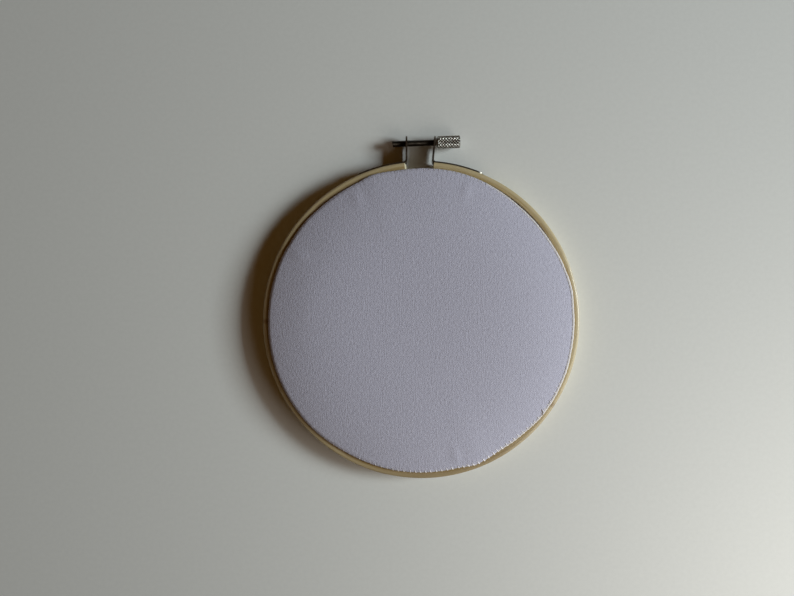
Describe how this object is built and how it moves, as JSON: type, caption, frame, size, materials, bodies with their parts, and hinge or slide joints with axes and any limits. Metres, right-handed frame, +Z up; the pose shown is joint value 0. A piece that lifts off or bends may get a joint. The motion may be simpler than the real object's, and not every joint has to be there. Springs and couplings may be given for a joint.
{
  "type": "embroidery hoop with stretched cloth",
  "caption": "Bamboo embroidery hoop with plain pale cloth drawn smooth over it in a low dome, clamped by a thumb screw; lies flat with the cloth up.",
  "frame": {"origin": "middle of the bounding box's underside: on the surface the hoop lies on, 6.7 mm from the hoop's own middle towards the clamp", "axes": "+Z up through the cloth's face, +Y from the hoop's middle towards the clamp screw, +X along the screw towards its knurled head"},
  "size_m": [0.152, 0.1657, 0.015],
  "materials": {
    "bamboo": "sanded bamboo under thin clear lacquer",
    "cloth": "matt fine plain-weave cotton",
    "steel": "dull nickel plate"
  },
  "bodies": {
    "hoop": {"outer_hoop": "bamboo", "inner_hoop": "bamboo", "cloth": "cloth", "strap_left": "steel", "strap_right": "steel"},
    "screw": {"thumb_screw": "steel"}
  },
  "joints": [
    {"name": "screw_turn", "type": "hinge", "parent": "hoop", "child": "screw", "pos_m": [0, 0.0793, 0.0045], "axis": [0.9993, 0.0366, 0], "continuous": true}
  ]
}
